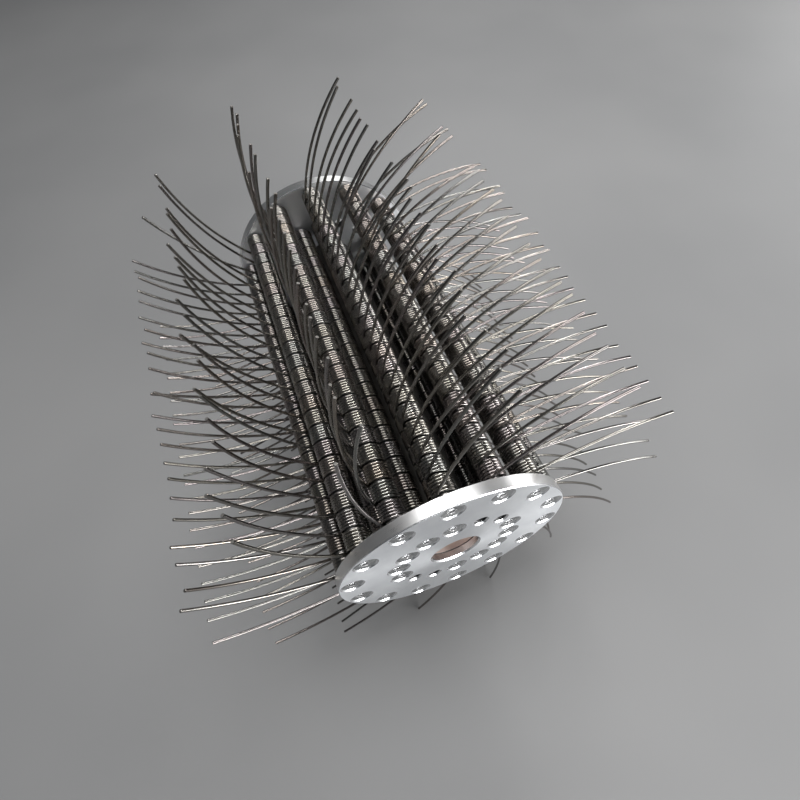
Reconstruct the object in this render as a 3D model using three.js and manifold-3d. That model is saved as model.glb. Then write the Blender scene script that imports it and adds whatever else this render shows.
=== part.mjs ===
// A spring-tine drum brush: two plates and a hub tube carry a ring of rods, and each outer rod
// carries a row of coil springs whose free wire ends are the bristles. Millimetres, +Z up.
// The drum's axis is Y, with the front plate towards -Y, and the origin is the drum's centre.

import * as THREE from 'three';
import { mergeVertices } from 'three/addons/utils/BufferGeometryUtils.js';
import Module from 'manifold-3d';

const wasm = await Module();
wasm.setup();

// Springs and the tines that they end in
const WIRE = 2;
const TURNS = 5.75;
const SPRING_LENGTH = WIRE * (TURNS + 1);
const SPRINGS_PER_ROD = 23;
const COIL_RADIUS = 7.5;
const COIL_BORE = COIL_RADIUS - WIRE;
const COIL_MEAN = COIL_RADIUS - WIRE / 2;
const COIL_LEAD = WIRE / (2 * Math.PI * COIL_MEAN);
const TINE_LENGTH = 92;
const TINE_LEAN = THREE.MathUtils.degToRad(12);
const TINE_CURL = THREE.MathUtils.degToRad(32);

// Drum
const GAP = 0.3;
const PLATE_RADIUS = 75;
const PLATE = 8;
const INNER_HALF = 138;
const OUTER_HALF = INNER_HALF + PLATE;
const BORE_RADIUS = 16;
const HUB_RADIUS = 20;
const HUB_SEAT = 3;
const HUB_SEAT_SLACK = 0.5;

// Rods, and the M6 countersunk screws that hold their ends
const PLACES = 14;
const OUTER_RING = 66.5;
const INNER_RING = 38;
const ROD_RADIUS = 5;
const SCREW_RADIUS = 3;
const HEAD_RADIUS = 6.6;
const HEAD_SUNK = 0.4;
const HOLE_SLACK = 0.4;
const TAPPED_RADIUS = 4.5;
const OVERCUT = 1;
const TAPPED_PLACES = [1, 2, 8, 9];

// Facets
const PLATE_SIDES = 36;
const HUB_SIDES = 20;
const ROD_SIDES = 8;
const TINE_STEPS = 2;

const plateMetal = new THREE.MeshStandardMaterial({ color: 0xc3c7ca, roughness: 0.32, metalness: 0.9 });
const rodMetal = new THREE.MeshStandardMaterial({ color: 0x9a9b9c, roughness: 0.3, metalness: 0.9 });
const hubMetal = new THREE.MeshStandardMaterial({ color: 0x6e6a66, roughness: 0.35, metalness: 0.9 });
const springMetal = new THREE.MeshStandardMaterial({ color: 0x5a544d, roughness: 0.35, metalness: 0.85 });
const coilMetal = new THREE.MeshStandardMaterial({ color: 0x6b6862, roughness: 0.3, metalness: 0.85 });

const drum = new THREE.Group();

// ---------------------------------------------------------------- helpers

function toSolid(geometry) {
  const bare = geometry.clone();
  bare.deleteAttribute('normal');
  bare.deleteAttribute('uv');
  const merged = mergeVertices(bare, 1e-3);
  const corners = merged.index.array;
  const triangles = [];
  for (let i = 0; i < corners.length; i += 3) {
    const [a, b, c] = corners.slice(i, i + 3);
    if (a !== b && b !== c && c !== a) {
      triangles.push(a, b, c);
    }
  }
  const vertProperties = new Float32Array(merged.attributes.position.array);
  const triVerts = new Uint32Array(triangles);
  return new wasm.Manifold(new wasm.Mesh({ numProp: 3, vertProperties, triVerts }));
}

function toGeometry(solid) {
  const { numProp, vertProperties, triVerts } = solid.getMesh();
  const geometry = new THREE.BufferGeometry();
  geometry.setAttribute('position', new THREE.BufferAttribute(new Float32Array(vertProperties), numProp));
  geometry.setIndex(new THREE.BufferAttribute(new Uint32Array(triVerts), 1));
  geometry.computeVertexNormals();
  return geometry;
}

// A solid of revolution about Y, from [radius, y] corners listed either way round.
function turned(corners, sides) {
  const outline = corners.map(([radius, y]) => new THREE.Vector2(radius, y));
  if (THREE.ShapeUtils.area(outline) < 0) {
    outline.reverse();
  }
  outline.push(outline[0]);
  return toSolid(new THREE.LatheGeometry(outline, sides));
}

function tube(bore, radius, halfLength, sides) {
  const corners = [[bore, -halfLength], [radius, -halfLength], [radius, halfLength], [bore, halfLength]];
  return turned(corners, sides);
}

function addNode(name, geometry, material) {
  const mesh = new THREE.Mesh(geometry, material);
  mesh.name = name;
  drum.add(mesh);
  return mesh;
}

// A tine's centre line, in its rod's frame: +Z points away from the drum's axis. The wire leaves the
// coil's anticlockwise side along a tangent, then bends clockwise at a constant rate. It keeps the
// coil's lead, so it drifts towards the front plate.
class TineCurve extends THREE.Curve {
  getPoint(t, target = new THREE.Vector3()) {
    const bend = TINE_LENGTH / TINE_CURL;
    const heading = TINE_LEAN + TINE_CURL * t;
    const x = -COIL_MEAN * Math.cos(TINE_LEAN) + bend * (Math.cos(TINE_LEAN) - Math.cos(heading));
    const z = COIL_MEAN * Math.sin(TINE_LEAN) + bend * (Math.sin(heading) - Math.sin(TINE_LEAN));
    return target.set(x, -COIL_LEAD * TINE_LENGTH * t, z);
  }
}

const tineCurve = new TineCurve();
const tip = tineCurve.getPoint(1);

// How far a tip lies clockwise of its own rod, seen from the front.
const tipLag = Math.atan2(tip.x, OUTER_RING + tip.z);

// The drum lies on the tips of two neighbouring rows, so the lowest point is half way between them.
const firstAngle = Math.PI / PLACES - tipLag;

function angleAt(place) {
  return firstAngle + (place * 2 * Math.PI) / PLACES;
}

function putAt(mesh, ring, place) {
  mesh.position.set(ring * Math.sin(angleAt(place)), 0, ring * Math.cos(angleAt(place)));
  mesh.rotation.y = angleAt(place);
}

const places = Array.from({ length: PLACES }, (_, place) => place);
const innerPlaces = places.filter((place) => !TAPPED_PLACES.includes(place));
const twoDigits = (number) => String(number).padStart(2, '0');

// ---------------------------------------------------------------- plates

// side is -1 for the front plate and 1 for the rear one.
function endPlate(side) {
  const seatFloor = INNER_HALF + HUB_SEAT;
  const seatRadius = HUB_RADIUS + HUB_SEAT_SLACK;
  const corners = [
    [BORE_RADIUS, side * OUTER_HALF],
    [PLATE_RADIUS, side * OUTER_HALF],
    [PLATE_RADIUS, side * INNER_HALF],
    [seatRadius, side * INNER_HALF],
    [seatRadius, side * seatFloor],
    [BORE_RADIUS, side * seatFloor],
  ];
  let plate = turned(corners, PLATE_SIDES);
  const screwHole = turned(screwHoleCorners(side), ROD_SIDES);
  const tappedHole = turned(tappedHoleCorners(side), ROD_SIDES);
  for (const place of places) {
    plate = plate.subtract(holeAt(screwHole, OUTER_RING, place));
    const inner = TAPPED_PLACES.includes(place) ? tappedHole : screwHole;
    plate = plate.subtract(holeAt(inner, INNER_RING, place));
  }
  return toGeometry(plate);
}

// A clearance hole with a 90 degree countersink, cut from just inside the plate to just outside it.
function screwHoleCorners(side) {
  const shank = SCREW_RADIUS + HOLE_SLACK;
  const beyond = HEAD_RADIUS + HOLE_SLACK + HEAD_SUNK + OVERCUT;
  return [
    [0, side * (INNER_HALF - OVERCUT)],
    [shank, side * (INNER_HALF - OVERCUT)],
    [shank, side * (OUTER_HALF + OVERCUT - (beyond - shank))],
    [beyond, side * (OUTER_HALF + OVERCUT)],
    [0, side * (OUTER_HALF + OVERCUT)],
  ];
}

function tappedHoleCorners(side) {
  return [
    [0, side * (INNER_HALF - OVERCUT)],
    [TAPPED_RADIUS, side * (INNER_HALF - OVERCUT)],
    [TAPPED_RADIUS, side * (OUTER_HALF + OVERCUT)],
    [0, side * (OUTER_HALF + OVERCUT)],
  ];
}

function holeAt(hole, ring, place) {
  const turn = THREE.MathUtils.radToDeg(angleAt(place));
  return hole.translate([0, 0, ring]).rotate([0, turn, 0]);
}

// ---------------------------------------------------------------- rods and hub

// One rod with the countersunk screw in each of its tapped ends.
function screwedRod() {
  const headTop = OUTER_HALF - HEAD_SUNK;
  const rodEnd = INNER_HALF - GAP;
  const half = [
    [ROD_RADIUS, rodEnd],
    [SCREW_RADIUS, rodEnd],
    [SCREW_RADIUS, headTop - (HEAD_RADIUS - SCREW_RADIUS)],
    [HEAD_RADIUS, headTop],
    [0, headTop],
  ];
  const mirrored = half.map(([radius, y]) => [radius, -y]).reverse();
  return toGeometry(turned([...mirrored, ...half], ROD_SIDES));
}

function hubTube() {
  return toGeometry(tube(BORE_RADIUS, HUB_RADIUS, INNER_HALF + HUB_SEAT - GAP, HUB_SIDES));
}

// ---------------------------------------------------------------- springs

// One turned stack stands for the close-wound coils on a rod.
function coilStack() {
  return tube(COIL_BORE, COIL_RADIUS, INNER_HALF - GAP, ROD_SIDES);
}

// The tine is a square bar whose section has the round wire's area.
function tine() {
  const half = (WIRE * Math.sqrt(Math.PI)) / 4;
  const section = new THREE.Shape();
  section.moveTo(half, half);
  section.lineTo(-half, half);
  section.lineTo(-half, -half);
  section.lineTo(half, -half);
  section.closePath();
  const options = { steps: TINE_STEPS, extrudePath: tineCurve, bevelEnabled: false };
  return toSolid(new THREE.ExtrudeGeometry(section, options));
}

// Each spring's wire leaves its last turn, at the end of the spring towards the front plate. The
// springs' open ends nest in each other, so the tines are closer together than a spring is long.
function tineRow() {
  const pitch = (2 * INNER_HALF - SPRING_LENGTH) / (SPRINGS_PER_ROD - 1);
  const oneTine = tine();
  let row = coilStack();
  for (let spring = 0; spring < SPRINGS_PER_ROD; spring += 1) {
    const y = -INNER_HALF + WIRE + spring * pitch;
    row = row.add(oneTine.translate([0, y, 0]));
  }
  return toGeometry(row);
}

// ---------------------------------------------------------------- assembly

addNode('front_plate', endPlate(-1), plateMetal);
addNode('rear_plate', endPlate(1), plateMetal);
addNode('hub_tube', hubTube(), hubMetal);

const rodShape = screwedRod();
const tineRowShape = tineRow();
const plainCoilShape = toGeometry(coilStack());

for (const place of places) {
  putAt(addNode(`outer_rod_${twoDigits(place + 1)}`, rodShape, rodMetal), OUTER_RING, place);
  putAt(addNode(`tine_row_${twoDigits(place + 1)}`, tineRowShape, springMetal), OUTER_RING, place);
}
innerPlaces.forEach((place, index) => {
  putAt(addNode(`inner_rod_${twoDigits(index + 1)}`, rodShape, rodMetal), INNER_RING, place);
  putAt(addNode(`inner_coils_${twoDigits(index + 1)}`, plainCoilShape, coilMetal), INNER_RING, place);
});

export default drum;
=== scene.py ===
"""Looks of the spring-tine drum brush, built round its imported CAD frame.

Metres, +Z up. The drum's axis is Y, and its front plate faces -Y.
"""

import math
import random

import bmesh
import bpy
import numpy as np
from mathutils import Matrix, Vector


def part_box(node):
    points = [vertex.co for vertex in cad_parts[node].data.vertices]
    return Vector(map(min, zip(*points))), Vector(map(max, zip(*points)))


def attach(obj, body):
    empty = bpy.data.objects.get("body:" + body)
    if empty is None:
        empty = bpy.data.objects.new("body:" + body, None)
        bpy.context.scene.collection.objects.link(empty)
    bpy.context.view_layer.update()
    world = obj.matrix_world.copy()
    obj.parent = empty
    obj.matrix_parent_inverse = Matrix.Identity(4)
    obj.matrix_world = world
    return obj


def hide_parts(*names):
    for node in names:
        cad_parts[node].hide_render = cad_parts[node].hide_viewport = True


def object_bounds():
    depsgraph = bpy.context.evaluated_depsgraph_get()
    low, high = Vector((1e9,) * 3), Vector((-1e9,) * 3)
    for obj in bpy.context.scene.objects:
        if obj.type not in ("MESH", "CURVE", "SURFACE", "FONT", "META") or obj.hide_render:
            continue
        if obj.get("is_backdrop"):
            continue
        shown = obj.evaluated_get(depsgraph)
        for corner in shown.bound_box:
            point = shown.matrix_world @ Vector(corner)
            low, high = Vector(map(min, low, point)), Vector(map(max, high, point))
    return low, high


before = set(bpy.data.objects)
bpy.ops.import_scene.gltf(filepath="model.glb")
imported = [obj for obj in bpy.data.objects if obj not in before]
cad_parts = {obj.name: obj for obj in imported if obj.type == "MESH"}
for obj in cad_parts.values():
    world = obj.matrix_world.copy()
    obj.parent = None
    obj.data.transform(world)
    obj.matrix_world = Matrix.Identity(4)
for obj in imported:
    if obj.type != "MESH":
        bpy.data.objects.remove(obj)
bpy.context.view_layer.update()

MM = 0.001
SEED = 41

# Springs: close coils, then the free end that is the tine
WIRE_RADIUS = 0.9 * MM
COIL_MEAN = 6.5 * MM
TURNS = 5.9
STEPS_PER_TURN = 24
WIRE_SIDES = 10
SPRINGS_PER_ROD = 23
SPRING_LENGTH = 2 * WIRE_RADIUS * (TURNS + 1)
FRONT_ROOM = 0.5 * MM
REAR_ROOM = 0.6 * MM
COIL_TILT = math.radians(4)
TINE_LENGTH = 92 * MM
TINE_LEAN = math.radians(12)
TINE_CURL = math.radians(32)
TINE_STEPS = 26
CUT_EDGE = 0.2 * MM
WIRE_SHARP = math.radians(40)
DRAWING_STRETCH = 40.0
DRAWING_SHIFT = 90.0

# How far the tines stray from even
LEAN_SPREAD = math.radians(1.3)
CURL_SPREAD = math.radians(2.0)
SWAY_SPREAD = 0.018
LENGTH_SPREAD = 0.9 * MM
BENT_SHARE = 0.15
BENT_FACTOR = 3.0
RESTING_CALM = 0.3

# Plates
PLATE_EDGE = 0.5 * MM
PLATE_SIDES = 180
ROUND_SIDES = 48
SHARP = math.radians(30)
PLACES = 14
SHANK_HOLE = 3.4 * MM
SINK_MOUTH = 7.4 * MM
SINK_EDGE = 0.15 * MM
TAPPED_RADIUS = 4.25 * MM
TAPPED_MOUTH = 5.2 * MM
THREAD_PITCH = 1.25 * MM
THREAD_DEPTH = 0.65 * MM
BORE_RADIUS = 16 * MM
BORE_EDGE = 1.0 * MM
SEAT_RADIUS = 20.5 * MM
SEAT_DEPTH = 3 * MM

# Rods, screws and hub
ROD_RADIUS = 5 * MM
ROD_EDGE = 0.6 * MM
HEAD_RADIUS = 6.5 * MM
HEAD_SUNK = 0.6 * MM
HEAD_EDGE = 0.25 * MM
SCREW_RADIUS = 3 * MM
SOCKET_HALF_FLATS = 2 * MM
SOCKET_DEPTH = 2.2 * MM
SOCKET_EDGE = 0.25 * MM
DRILL_SHARE = 0.3
DRILL_POINT = 0.5 * MM
HUB_RADIUS = 20 * MM
HUB_SIDES = 96
HUB_EDGE = 0.4 * MM
GAP = 0.3 * MM

# Material slots, in the order that each piece lists its materials
WIRE_SLOT, END_SLOT = range(2)
FACE_SLOT, CUT_SLOT, THREAD_SLOT, RIM_SLOT = range(4)
ROD_SLOT, SCREW_SLOT, SOCKET_SLOT = range(3)
OUTSIDE_SLOT, BORE_SLOT = range(2)

FLOOR_SIZE = 6.0

# Camera, from the centre of the front plate's face
CAMERA_OFFSET = Vector((-0.0349, -0.0852, 0.3142))
CAMERA_AIM = Vector((0.1761, 0.4802, -0.8593))
CAMERA_RIGHT = Vector((0.9228, -0.3845, -0.0258))
LENS_MM = 22.77
SHIFT = (-0.0548, 0.0247)

rng = random.Random(SEED)


# ---------------------------------------------------------------- places in the frame

def middle(node):
    low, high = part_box(node)
    return (Vector(low) + Vector(high)) / 2


def ring_angle(point):
    """Clockwise from straight up, seen from the front."""
    return math.atan2(point.x, point.z)


def nodes_named(prefix):
    return sorted(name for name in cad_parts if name.startswith(prefix))


def faces_of(plate):
    """(outer y, inner y) of an end plate."""
    low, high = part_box(plate)
    return sorted((low[1], high[1]), key=abs, reverse=True)


OUTER_RODS = nodes_named("outer_rod_")
INNER_RODS = nodes_named("inner_rod_")
FRONT_OUTER, FRONT_INNER = faces_of("front_plate")
REAR_OUTER, REAR_INNER = faces_of("rear_plate")
PLATE_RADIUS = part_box("front_plate")[1][0]
SPRING_ROOM = REAR_INNER - FRONT_INNER - FRONT_ROOM - REAR_ROOM
SPRING_PITCH = (SPRING_ROOM - SPRING_LENGTH) / (SPRINGS_PER_ROD - 1)


# ---------------------------------------------------------------- mesh helpers

class Shape:
    """Vertices, faces and per-vertex values gathered before they become one mesh."""

    def __init__(self):
        self.points = []
        self.faces = []
        self.values = {}
        self.count = 0

    def add(self, points, faces, **values):
        start = self.count
        self.points.append(np.asarray(points, dtype=float))
        for face, slot in faces:
            self.faces.append(([start + i for i in face], slot))
        for name, value in values.items():
            self.values.setdefault(name, []).append(np.asarray(value, dtype=float))
        self.count += len(points)
        return start

    def to_object(self, name, materials, sharp=SHARP):
        mesh = bpy.data.meshes.new(name)
        mesh.from_pydata(np.concatenate(self.points).tolist(), [], [face for face, _ in self.faces])
        mesh.polygons.foreach_set("material_index", [slot for _, slot in self.faces])
        mesh.shade_smooth()
        for label, chunks in self.values.items():
            data = np.concatenate(chunks)
            kind, field = ("FLOAT", "value") if data.ndim == 1 else ("FLOAT_VECTOR", "vector")
            mesh.attributes.new(label, kind, "POINT").data.foreach_set(field, data.ravel())
        mesh.set_sharp_from_angle(angle=sharp)
        piece = bpy.data.objects.new(name, mesh)
        bpy.context.scene.collection.objects.link(piece)
        for material in materials:
            mesh.materials.append(material)
        return piece


def circle(radius, sides):
    turns = np.arange(sides) * 2 * math.pi / sides
    return np.column_stack((radius * np.sin(turns), radius * np.cos(turns)))


def hexagon(half_flats, sides):
    """A hexagon's outline with the same number of points as a circle of that many sides."""
    turns = np.arange(sides) * 2 * math.pi / sides
    off_flat = (turns % (math.pi / 3)) - math.pi / 6
    radius = half_flats / np.cos(off_flat)
    return np.column_stack((radius * np.sin(turns), radius * np.cos(turns)))


def rings_to_shape(shape, rings, slots, centre=(0.0, 0.0), caps=(False, False)):
    """Joins rings of equal length, each (outline in x and z, y), with one slot between each two.

    caps says whether the first and the last ring are closed. Returns each ring's indices.
    """
    sides = len(rings[0][0])
    points = [(x + centre[0], y, z + centre[1]) for outline, y in rings for x, z in outline]
    faces = []
    for step in range(len(rings) - 1):
        for i in range(sides):
            a = step * sides + i
            b = step * sides + (i + 1) % sides
            faces.append(((a, b, b + sides, a + sides), slots[step]))
    if caps[0]:
        faces.append((tuple(range(sides)), slots[0]))
    if caps[1]:
        last = (len(rings) - 1) * sides
        faces.append((tuple(range(last, last + sides)), slots[-1]))
    start = shape.add(points, faces)
    return [range(start + step * sides, start + (step + 1) * sides) for step in range(len(rings))]


def fill_flat(shape, loops, slot):
    """Fills the flat face between an outline and the holes in it, from vertex indices."""
    points = np.concatenate(shape.points)
    sheet = bmesh.new()
    known = {}
    edges = []
    for loop in loops:
        corners = [sheet.verts.new(points[i]) for i in loop]
        known.update(zip(corners, loop))
        edges += [sheet.edges.new((corners[i - 1], corners[i])) for i in range(len(corners))]
    filled = bmesh.ops.triangle_fill(sheet, use_beauty=True, edges=edges, normal=(0, 1, 0))["geom"]
    for face in filled:
        if isinstance(face, bmesh.types.BMFace):
            shape.faces.append(([known[corner] for corner in face.verts], slot))
    sheet.free()


def turn_outward(piece):
    """Turns every face of a closed mesh outwards, and marks its sharp edges again."""
    cleaned = bmesh.new()
    cleaned.from_mesh(piece.data)
    bmesh.ops.recalc_face_normals(cleaned, faces=cleaned.faces)
    cleaned.to_mesh(piece.data)
    cleaned.free()
    piece.data.set_sharp_from_angle(angle=SHARP)


# ---------------------------------------------------------------- material helpers

class Nodes:
    """A short way to write a node tree."""

    def __init__(self, name):
        self.material = bpy.data.materials.new(name)
        self.material.use_nodes = True
        self.tree = self.material.node_tree
        self.shader = self.tree.nodes["Principled BSDF"]

    def add(self, kind, settings=None, **inputs):
        node = self.tree.nodes.new(kind)
        for key, value in (settings or {}).items():
            setattr(node, key, value)
        for key, value in inputs.items():
            self.feed(node.inputs[key.replace("_", " ")], value)
        return node

    def feed(self, socket, value):
        if isinstance(value, bpy.types.NodeSocket):
            self.tree.links.new(value, socket)
        else:
            socket.default_value = value

    def math(self, operation, a, b=0.0):
        node = self.tree.nodes.new("ShaderNodeMath")
        node.operation = operation
        self.feed(node.inputs[0], a)
        self.feed(node.inputs[1], b)
        return node.outputs[0]

    def set(self, **inputs):
        for key, value in inputs.items():
            self.feed(self.shader.inputs[key.replace("_", " ")], value)

    def position(self):
        return self.add("ShaderNodeTexCoord").outputs["Object"]

    def noise(self, vector, scale, detail=3.0, roughness=0.5):
        return self.add("ShaderNodeTexNoise", Vector=vector, Scale=scale, Detail=detail,
                        Roughness=roughness).outputs["Fac"]

    def ramp(self, factor, stops):
        node = self.add("ShaderNodeValToRGB", Fac=factor)
        elements = node.color_ramp.elements
        while len(elements) < len(stops):
            elements.new(0.5)
        for element, (place, colour) in zip(elements, stops):
            element.position = place
            element.color = (*colour, 1.0)
        return node.outputs["Color"]

    def span(self, value, low, high):
        return self.add("ShaderNodeMapRange", Value=value, To_Min=low, To_Max=high).outputs["Result"]

    def bump(self, height, strength, distance):
        return self.add("ShaderNodeBump", Strength=strength, Distance=distance,
                        Height=height).outputs["Normal"]

    def lathe_marks(self, pitch):
        """Fine rings round the drum's axis: steps of radius on a face, and of Y on a rim."""
        apart = self.add("ShaderNodeSeparateXYZ", Vector=self.position())
        x, y, z = (apart.outputs[axis] for axis in "XYZ")
        squares = self.math("ADD", self.math("MULTIPLY", x, x), self.math("MULTIPLY", z, z))
        radius = self.math("SQRT", squares)
        across = self.math("ADD", radius, y)
        return self.add("ShaderNodeTexNoise", {"noise_dimensions": "1D"}, W=across, Scale=1 / pitch,
                        Detail=4.0, Roughness=0.65).outputs["Fac"]


def turned_aluminium(name, dark, light, roughness):
    """Aluminium turned on a lathe. roughness is its least and its most."""
    nodes = Nodes(name)
    marks = nodes.lathe_marks(0.35 * MM)
    clouds = nodes.noise(nodes.position(), 38.0, 4.0, 0.6)
    tone = nodes.ramp(clouds, [(0.3, dark), (0.7, light)])
    gloss = nodes.math("ADD", nodes.span(clouds, *roughness), nodes.span(marks, -0.03, 0.05))
    tangent = nodes.add("ShaderNodeTangent", {"direction_type": "RADIAL", "axis": "Y"}).outputs["Tangent"]
    nodes.set(Base_Color=tone, Metallic=1.0, Roughness=gloss, Anisotropic=0.35, Tangent=tangent,
              Normal=nodes.bump(marks, 0.06, 0.03 * MM))
    return nodes.material


def cut_aluminium():
    nodes = Nodes("cut_aluminium")
    chatter = nodes.noise(nodes.position(), 900.0, 2.0)
    nodes.set(Base_Color=nodes.ramp(chatter, [(0.3, (0.82, 0.83, 0.85)), (0.7, (0.90, 0.91, 0.92))]),
              Metallic=1.0, Roughness=nodes.span(chatter, 0.14, 0.26),
              Normal=nodes.bump(chatter, 0.12, 0.02 * MM))
    return nodes.material


def screw_steel():
    nodes = Nodes("screw_steel")
    fine = nodes.noise(nodes.position(), 1400.0, 2.0)
    broad = nodes.noise(nodes.position(), 160.0, 3.0)
    tone = nodes.ramp(broad, [(0.35, (0.40, 0.41, 0.42)), (0.65, (0.54, 0.55, 0.55))])
    nodes.set(Base_Color=tone, Metallic=1.0, Roughness=nodes.span(broad, 0.18, 0.34),
              Normal=nodes.bump(fine, 0.12, 0.03 * MM))
    return nodes.material


# The socket walls are made lighter than the screw head's own steel: painted highlights, standing in for
# glints against the shade inside the socket.
def socket_steel_painted_glints():
    nodes = Nodes("socket_steel_painted_glints")
    fine = nodes.noise(nodes.position(), 1100.0, 2.0)
    nodes.set(Base_Color=nodes.ramp(fine, [(0.3, (0.50, 0.50, 0.51)), (0.7, (0.68, 0.68, 0.68))]),
              Metallic=1.0, Roughness=nodes.span(fine, 0.22, 0.42),
              Normal=nodes.bump(fine, 0.2, 0.04 * MM))
    return nodes.material


# Near-black thread: painted shade that darkens the inside of the tapped holes, where shade falls.
def thread_painted_shade():
    nodes = Nodes("thread_painted_shade")
    thread_mottle = nodes.noise(nodes.position(), 700.0, 3.0)
    nodes.set(Base_Color=nodes.ramp(thread_mottle, [(0.3, (0.045, 0.045, 0.045)), (0.7, (0.10, 0.10, 0.10))]),
              Metallic=1.0, Roughness=nodes.span(thread_mottle, 0.3, 0.5))
    return nodes.material


def drawn_steel(name, dark, light, roughness):
    """Bar or tube drawn along Y, with faint lines along it. roughness is its least and its most."""
    nodes = Nodes(name)
    apart = nodes.add("ShaderNodeMapping", Vector=nodes.position(), Scale=(1.0, 0.02, 1.0)).outputs["Vector"]
    lines = nodes.noise(apart, 1500.0, 3.0)
    stains = nodes.noise(nodes.position(), 60.0, 4.0, 0.6)
    nodes.set(Base_Color=nodes.ramp(stains, [(0.35, dark), (0.65, light)]), Metallic=1.0,
              Roughness=nodes.span(stains, *roughness),
              Normal=nodes.bump(lines, 0.12, 0.03 * MM))
    return nodes.material


TEMPER_TINTS = [
    (0.00, (0.206, 0.193, 0.171)),
    (0.22, (0.196, 0.188, 0.174)),
    (0.42, (0.212, 0.187, 0.173)),
    (0.60, (0.188, 0.187, 0.176)),
    (0.80, (0.203, 0.182, 0.180)),
    (1.00, (0.213, 0.190, 0.164)),
]


def tempered_wire(name, painted_lightness):
    """Oil-tempered spring wire: each spring has its own heat tint, with drawing lines along the wire."""
    nodes = Nodes(name)
    tint = nodes.add("ShaderNodeAttribute", {"attribute_name": "tint"}).outputs["Fac"]
    wire = nodes.add("ShaderNodeAttribute", {"attribute_name": "wire"}).outputs["Vector"]
    lines = nodes.noise(wire, 5.0, 3.0, 0.6)
    blotches = nodes.noise(nodes.position(), 120.0, 3.0, 0.6)
    # The lightness factor scales the heat tints, so a lighter copy of this wire is painted light.
    stops = [(place, tuple(channel * painted_lightness for channel in colour)) for place, colour in TEMPER_TINTS]
    colour = nodes.ramp(nodes.math("ADD", tint, nodes.span(blotches, -0.12, 0.12)), stops)
    gloss = nodes.math("ADD", nodes.span(blotches, 0.17, 0.24), nodes.span(lines, -0.03, 0.05))
    nodes.set(Base_Color=colour, Metallic=1.0, Roughness=gloss, Normal=nodes.bump(lines, 0.06, 0.02 * MM))
    return nodes.material


def sheared_steel():
    nodes = Nodes("sheared_steel")
    grain = nodes.noise(nodes.position(), 2600.0, 2.0)
    nodes.set(Base_Color=nodes.ramp(grain, [(0.3, (0.09, 0.086, 0.08)), (0.7, (0.16, 0.154, 0.145))]),
              Metallic=1.0, Roughness=nodes.span(grain, 0.5, 0.7), Normal=nodes.bump(grain, 0.3, 0.03 * MM))
    return nodes.material


def floor_paint():
    nodes = Nodes("floor_paint")
    clouds = nodes.noise(nodes.position(), 2.2, 3.0)
    nodes.set(Base_Color=nodes.ramp(clouds, [(0.35, (0.165, 0.166, 0.167)), (0.65, (0.19, 0.19, 0.19))]),
              Roughness=nodes.span(clouds, 0.55, 0.65), Specular_IOR_Level=0.3)
    return nodes.material


ALUMINIUM = turned_aluminium("turned_face", (0.82, 0.84, 0.87), (0.90, 0.92, 0.94), (0.33, 0.42))
RIM = turned_aluminium("turned_rim", (0.66, 0.655, 0.65), (0.75, 0.745, 0.74), (0.24, 0.33))
CUT_FACE = cut_aluminium()
SCREW = screw_steel()
SOCKET = socket_steel_painted_glints()
ROD = drawn_steel("rod_steel", (0.30, 0.29, 0.28), (0.45, 0.44, 0.43), (0.24, 0.42))
HUB_OUTSIDE = drawn_steel("hub_outside", (0.045, 0.043, 0.04), (0.08, 0.077, 0.07), (0.39, 0.57))
HUB_BORE = drawn_steel("hub_bore", (0.78, 0.66, 0.61), (0.92, 0.83, 0.79), (0.44, 0.62))
# The outer springs' wire is a 12% lighter copy of the inner springs' same wire: painted light on the outer
# springs, and the inner springs' darker copy is painted shade inside the drum.
TINE_WIRE_PAINTED_LIGHTER = tempered_wire("tine_wire", 1.12)
COIL_WIRE = tempered_wire("coil_wire", 1.0)
CUT_END = sheared_steel()
# The thread's near-black colour is painted shade inside the tapped holes.
THREAD = thread_painted_shade()


# ---------------------------------------------------------------- springs

def spring_line(y_rear, lean, curl, sway, length, with_tine):
    """A spring's centre line in its rod's frame, where +Z points away from the drum's axis.

    The wire winds clockwise towards the front, and leaves the coil along a tangent on its
    anticlockwise side. The coil is loose on its rod, so it stands a little askew. Returns points
    from the rear end to the tip.
    """
    leave = lean - math.pi / 2
    turns = np.linspace(leave - 2 * math.pi * TURNS, leave, round(TURNS * STEPS_PER_TURN) + 1)
    rise = 2 * WIRE_RADIUS / (2 * math.pi)
    x = COIL_MEAN * np.sin(turns)
    y = y_rear - WIRE_RADIUS - rise * (turns - turns[0]) - x * math.tan(COIL_TILT)
    coil = np.column_stack((x, y, COIL_MEAN * np.cos(turns)))
    if not with_tine:
        return coil
    share = np.linspace(0, 1, TINE_STEPS + 1)[1:]
    heading = lean + curl * share
    bend = length / curl
    x = coil[-1, 0] + bend * (math.cos(lean) - np.cos(heading))
    z = coil[-1, 2] + bend * (np.sin(heading) - math.sin(lean))
    y = coil[-1, 1] + length * (sway * share**2 / 2 - rise / COIL_MEAN * share)
    return np.concatenate((coil, np.column_stack((x, y, z))))


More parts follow.
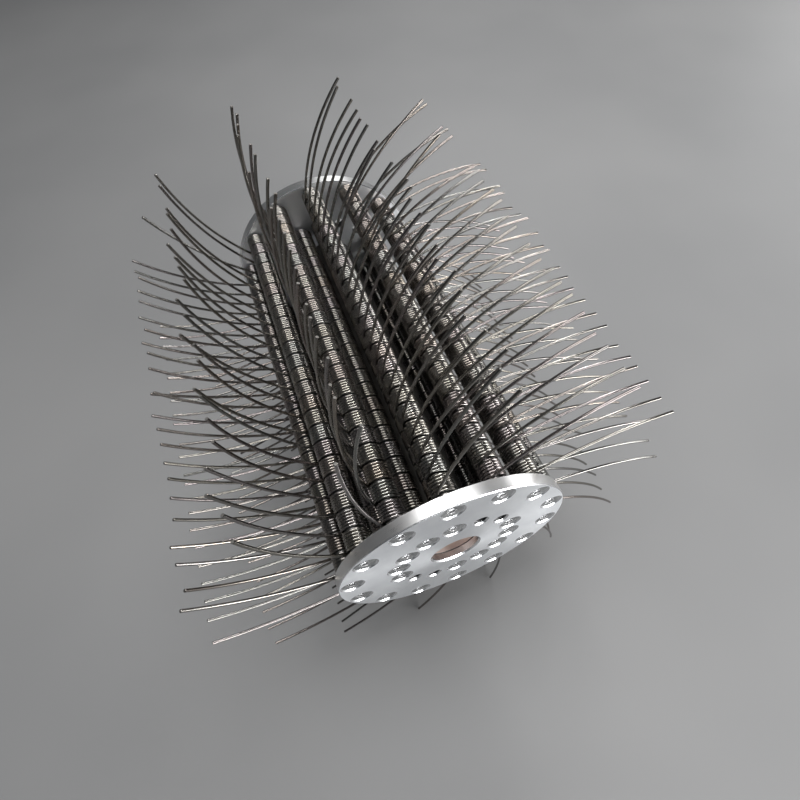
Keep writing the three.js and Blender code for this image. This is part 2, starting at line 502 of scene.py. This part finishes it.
def add_wire(shape, line, tint):
    """Sweeps the round wire along a line, with a small chamfer and a flat cut at both ends."""
    first = line[0] + (line[1] - line[0]) * (CUT_EDGE / np.linalg.norm(line[1] - line[0]))
    last = line[-1] + (line[-2] - line[-1]) * (CUT_EDGE / np.linalg.norm(line[-2] - line[-1]))
    line = np.concatenate(([line[0], first], line[1:-1], [last, line[-1]]))
    radii = np.full(len(line), WIRE_RADIUS)
    radii[[0, -1]] = WIRE_RADIUS - CUT_EDGE
    along = np.gradient(line, axis=0)
    along /= np.linalg.norm(along, axis=1)[:, None]
    axis = np.array((0.0, 1.0, 0.0))
    beside = axis - (along @ axis)[:, None] * along
    beside /= np.linalg.norm(beside, axis=1)[:, None]
    above = np.cross(along, beside)
    around = np.arange(WIRE_SIDES) * 2 * math.pi / WIRE_SIDES
    ring = beside[:, None, :] * np.cos(around)[None, :, None]
    ring = ring + above[:, None, :] * np.sin(around)[None, :, None]
    points = (line[:, None, :] + ring * radii[:, None, None]).reshape(-1, 3)
    run = np.concatenate(([0], np.cumsum(np.linalg.norm(np.diff(line, axis=0), axis=1))))
    wire = np.empty((len(line), WIRE_SIDES, 3))
    wire[:, :, 0] = np.cos(around)
    wire[:, :, 1] = np.sin(around)
    wire[:, :, 2] = run[:, None] * DRAWING_STRETCH + tint * DRAWING_SHIFT
    faces = []
    for step in range(len(line) - 1):
        base = step * WIRE_SIDES
        for i in range(WIRE_SIDES):
            j = (i + 1) % WIRE_SIDES
            sides = (base + i, base + j, base + WIRE_SIDES + j, base + WIRE_SIDES + i)
            faces.append((sides, WIRE_SLOT))
    last_ring = (len(line) - 1) * WIRE_SIDES
    faces.append((tuple(range(WIRE_SIDES))[::-1], END_SLOT))
    faces.append((tuple(range(last_ring, last_ring + WIRE_SIDES)), END_SLOT))
    shape.add(points, faces, tint=np.full(len(points), tint), wire=wire.reshape(-1, 3))


def spring_row(name, with_tine, wire_material, calm=1.0):
    """All the springs on one rod, each one its own wire. A calm below 1 keeps them more even."""
    shape = Shape()
    row_start = rng.uniform(0, 2 * math.pi)
    for spring in range(SPRINGS_PER_ROD):
        bent = rng.random() < BENT_SHARE and calm == 1.0
        stray = calm * (BENT_FACTOR if bent else 1.0)
        lean = TINE_LEAN + rng.gauss(0, LEAN_SPREAD) * stray
        if not with_tine:
            lean = row_start + rng.gauss(0, LEAN_SPREAD)
        line = spring_line(
            FRONT_INNER + FRONT_ROOM + SPRING_LENGTH + spring * SPRING_PITCH,
            lean,
            TINE_CURL + rng.gauss(0, CURL_SPREAD) * stray,
            rng.gauss(0, SWAY_SPREAD) * stray,
            TINE_LENGTH + rng.gauss(0, LENGTH_SPREAD) * calm,
            with_tine,
        )
        add_wire(shape, line, rng.random())
    return shape.to_object(name, [wire_material, CUT_END], WIRE_SHARP)


def put_on_rod(piece, rod):
    centre = middle(rod)
    turn = Matrix.Rotation(ring_angle(centre), 4, "Y")
    piece.data.transform(Matrix.Translation((centre.x, 0, centre.z)) @ turn)


def finish_piece(piece, body, node):
    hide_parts(node)
    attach(piece, body)


def make_springs():
    by_height = sorted(OUTER_RODS, key=lambda rod: middle(rod.replace("outer_rod", "tine_row")).z)
    lowest = by_height[:2]
    for rod in OUTER_RODS:
        number = rod[-2:]
        calm = RESTING_CALM if rod in lowest else 1.0
        row = spring_row(f"spring_tines_{number}", True, TINE_WIRE_PAINTED_LIGHTER, calm)
        put_on_rod(row, rod)
        finish_piece(row, f"tines_{number}", f"tine_row_{number}")
    for rod in INNER_RODS:
        number = rod[-2:]
        row = spring_row(f"plain_springs_{number}", False, COIL_WIRE)
        put_on_rod(row, rod)
        finish_piece(row, "drum", f"inner_coils_{number}")


# ---------------------------------------------------------------- plates

def tapped_places():
    """Centres of the inner ring's places that hold no rod."""
    first = ring_angle(middle(OUTER_RODS[0]))
    ring = Vector((middle(INNER_RODS[0]).x, middle(INNER_RODS[0]).z)).length
    spots = []
    for place in range(PLACES):
        angle = first + place * 2 * math.pi / PLACES
        spot = Vector((ring * math.sin(angle), 0, ring * math.cos(angle)))
        if all((spot - middle(rod)).length > ROD_RADIUS for rod in INNER_RODS):
            spots.append(spot)
    return spots


def steps_from(face, inner, steps):
    """Turns (radius, depth below the outer face) into (radius, y)."""
    way = 1 if inner > face else -1
    return [(radius, face + way * depth) for radius, depth in steps]


def thread_steps(depth):
    """A tapped hole's thread, as ring grooves between its mouth and the plate's other face."""
    steps = []
    at = TAPPED_MOUTH - TAPPED_RADIUS
    while at + THREAD_PITCH < depth - THREAD_DEPTH:
        steps.append((TAPPED_RADIUS, at))
        steps.append((TAPPED_RADIUS + THREAD_DEPTH, at + THREAD_PITCH / 2))
        at += THREAD_PITCH
    steps.append((TAPPED_RADIUS, at))
    return steps


def end_plate(node, name):
    face, inner = faces_of(node)
    depth = abs(inner - face)
    shape = Shape()
    front_loops = []
    back_loops = []

    def cut(steps, slots, centre=(0.0, 0.0), sides=ROUND_SIDES):
        rings = [(circle(radius, sides), y) for radius, y in steps_from(face, inner, steps)]
        loops = rings_to_shape(shape, rings, slots, centre)
        front_loops.append(loops[0])
        back_loops.append(loops[-1])

    rim = [(PLATE_RADIUS - PLATE_EDGE, 0), (PLATE_RADIUS, PLATE_EDGE),
           (PLATE_RADIUS, depth - PLATE_EDGE), (PLATE_RADIUS - PLATE_EDGE, depth)]
    cut(rim, [CUT_SLOT, RIM_SLOT, CUT_SLOT], sides=PLATE_SIDES)
    seat = depth - SEAT_DEPTH
    bore = [(BORE_RADIUS + BORE_EDGE, 0), (BORE_RADIUS, BORE_EDGE), (BORE_RADIUS, seat),
            (SEAT_RADIUS, seat), (SEAT_RADIUS, depth)]
    cut(bore, [CUT_SLOT, CUT_SLOT, FACE_SLOT, FACE_SLOT], sides=HUB_SIDES)
    sink = SINK_MOUTH - SHANK_HOLE
    screw_hole = [(SINK_MOUTH + SINK_EDGE, 0), (SINK_MOUTH, SINK_EDGE), (SHANK_HOLE, SINK_EDGE + sink),
                  (SHANK_HOLE, depth)]
    for rod in OUTER_RODS + INNER_RODS:
        centre = middle(rod)
        cut(screw_hole, [CUT_SLOT, CUT_SLOT, FACE_SLOT], (centre.x, centre.z))
    tapped = [(TAPPED_MOUTH, 0), *thread_steps(depth), (TAPPED_RADIUS, depth)]
    for spot in tapped_places():
        cut(tapped, [CUT_SLOT] + [THREAD_SLOT] * (len(tapped) - 2), (spot.x, spot.z))
    fill_flat(shape, front_loops, FACE_SLOT)
    fill_flat(shape, back_loops, FACE_SLOT)
    plate = shape.to_object(name, [ALUMINIUM, CUT_FACE, THREAD, RIM])
    turn_outward(plate)
    finish_piece(plate, "drum", node)


# ---------------------------------------------------------------- rods, screws and hub

def add_screw(shape, face, way):
    """A countersunk screw with a hexagon socket. way is 1 where +Y points into the plate."""
    head = face + way * HEAD_SUNK
    cone = HEAD_RADIUS - SCREW_RADIUS
    tip = head + way * (abs(FRONT_OUTER - FRONT_INNER) - HEAD_SUNK)
    flats = SOCKET_HALF_FLATS
    rings = [
        (hexagon(flats * DRILL_SHARE, ROUND_SIDES), head + way * (SOCKET_DEPTH + DRILL_POINT)),
        (hexagon(flats, ROUND_SIDES), head + way * SOCKET_DEPTH),
        (hexagon(flats, ROUND_SIDES), head + way * SOCKET_EDGE),
        (circle(flats / math.cos(math.pi / 6) + SOCKET_EDGE, ROUND_SIDES), head),
        (circle(HEAD_RADIUS - HEAD_EDGE, ROUND_SIDES), head),
        (circle(HEAD_RADIUS, ROUND_SIDES), head + way * HEAD_EDGE),
        (circle(SCREW_RADIUS, ROUND_SIDES), head + way * (HEAD_EDGE + cone)),
        (circle(SCREW_RADIUS, ROUND_SIDES), tip),
    ]
    slots = [SOCKET_SLOT] * 3 + [SCREW_SLOT] * 4
    rings_to_shape(shape, rings, slots=slots, caps=(True, True))


def rod_with_screws(rod, name):
    shape = Shape()
    ends = (FRONT_INNER + GAP, REAR_INNER - GAP)
    rings = [
        (circle(ROD_RADIUS - ROD_EDGE, ROUND_SIDES), ends[0]),
        (circle(ROD_RADIUS, ROUND_SIDES), ends[0] + ROD_EDGE),
        (circle(ROD_RADIUS, ROUND_SIDES), ends[1] - ROD_EDGE),
        (circle(ROD_RADIUS - ROD_EDGE, ROUND_SIDES), ends[1]),
    ]
    rings_to_shape(shape, rings, slots=[ROD_SLOT] * 3, caps=(True, True))
    add_screw(shape, FRONT_OUTER, 1)
    add_screw(shape, REAR_OUTER, -1)
    piece = shape.to_object(name, [ROD, SCREW, SOCKET])
    turn_outward(piece)
    centre = middle(rod)
    turn = Matrix.Rotation(rng.uniform(0, math.pi / 3), 4, "Y")
    piece.data.transform(Matrix.Translation((centre.x, 0, centre.z)) @ turn)
    finish_piece(piece, "drum", rod)


def hub():
    half = -FRONT_INNER + SEAT_DEPTH - GAP
    shape = Shape()
    profile = [
        (BORE_RADIUS, -half + HUB_EDGE), (BORE_RADIUS + HUB_EDGE, -half), (HUB_RADIUS - HUB_EDGE, -half),
        (HUB_RADIUS, -half + HUB_EDGE), (HUB_RADIUS, half - HUB_EDGE), (HUB_RADIUS - HUB_EDGE, half),
        (BORE_RADIUS + HUB_EDGE, half), (BORE_RADIUS, half - HUB_EDGE),
    ]
    rings = [(circle(radius, HUB_SIDES), y) for radius, y in profile]
    loops = rings_to_shape(shape, rings, slots=[OUTSIDE_SLOT] * (len(rings) - 1))
    first, last = loops[0], loops[-1]
    for i in range(HUB_SIDES):
        j = (i + 1) % HUB_SIDES
        shape.faces.append(([last[i], last[j], first[j], first[i]], BORE_SLOT))
    piece = shape.to_object("hub", [HUB_OUTSIDE, HUB_BORE])
    turn_outward(piece)
    finish_piece(piece, "drum", "hub_tube")


# ---------------------------------------------------------------- floor, lights and camera

def floor(height):
    bpy.ops.mesh.primitive_plane_add(size=FLOOR_SIZE, location=(0, 0, height))
    ground = bpy.context.object
    ground.name = "floor"
    ground.data.materials.append(floor_paint())
    ground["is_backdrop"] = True


def area_light(name, location, size, power):
    """A rectangular light that points at the drum's middle."""
    lamp = bpy.data.lights.new(name, "AREA")
    lamp.shape = "RECTANGLE"
    lamp.size, lamp.size_y = size
    lamp.energy = power
    holder = bpy.data.objects.new(name, lamp)
    bpy.context.scene.collection.objects.link(holder)
    holder.location = location
    holder.rotation_euler = (-Vector(location)).to_track_quat("-Z", "Y").to_euler()


def lights():
    world = bpy.data.worlds.new("studio")
    world.use_nodes = True
    background = world.node_tree.nodes["Background"]
    background.inputs["Color"].default_value = (0.86, 0.90, 0.95, 1.0)
    background.inputs["Strength"].default_value = 0.11
    bpy.context.scene.world = world
    bpy.context.scene.view_settings.view_transform = "Standard"
    area_light("window", (0.75, 1.25, 1.15), (0.4, 0.35), 19)
    area_light("ceiling", (0.05, 0.15, 1.5), (1.1, 0.8), 20)
    area_light("low_front", (0.55, -1.15, 0.14), (1.7, 0.35), 36)
    area_light("low_right", (1.4, 0.4, 0.25), (0.9, 0.5), 6)
    area_light("upper_left", (-0.4, -0.1, 1.2), (0.25, 0.25), 3)


def camera():
    lens = bpy.data.cameras.new("camera")
    lens.sensor_width = 36
    lens.lens = LENS_MM
    lens.shift_x, lens.shift_y = SHIFT
    holder = bpy.data.objects.new("camera", lens)
    bpy.context.scene.collection.objects.link(holder)
    back = -CAMERA_AIM.normalized()
    right = (CAMERA_RIGHT - CAMERA_RIGHT.dot(back) * back).normalized()
    up = back.cross(right)
    turn = Matrix((right, up, back)).transposed()
    holder.matrix_world = Matrix.Translation(Vector((0, FRONT_OUTER, 0)) + CAMERA_OFFSET) @ turn.to_4x4()
    bpy.context.scene.camera = holder


camera()
end_plate("front_plate", "front_end_plate")
end_plate("rear_plate", "rear_end_plate")
hub()
for rod_node in OUTER_RODS + INNER_RODS:
    rod_with_screws(rod_node, f"{rod_node}_with_screws")
make_springs()
floor(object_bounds()[0][2])
lights()
